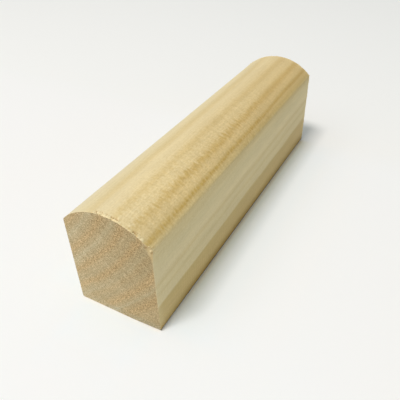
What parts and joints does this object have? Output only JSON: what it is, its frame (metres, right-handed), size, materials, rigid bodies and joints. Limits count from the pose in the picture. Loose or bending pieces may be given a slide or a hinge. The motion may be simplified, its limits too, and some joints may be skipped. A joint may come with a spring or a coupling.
{
  "type": "stair nose moulding",
  "caption": "Short straight length of planed pine nosing with a flat back, flat sides and a shallow domed nose, made to finish the front edge of a stair tread.",
  "frame": {"origin": "centre of the flat back, which the length lies on", "axes": "+Z from the back to the crown of the dome, +Y along the grain, +X across the section"},
  "size_m": [0.032, 0.138, 0.042],
  "materials": {
    "pine": "planed bare softwood, sawn end grain"
  },
  "bodies": {
    "root": {"stair_nosing": "pine"}
  },
  "joints": []
}
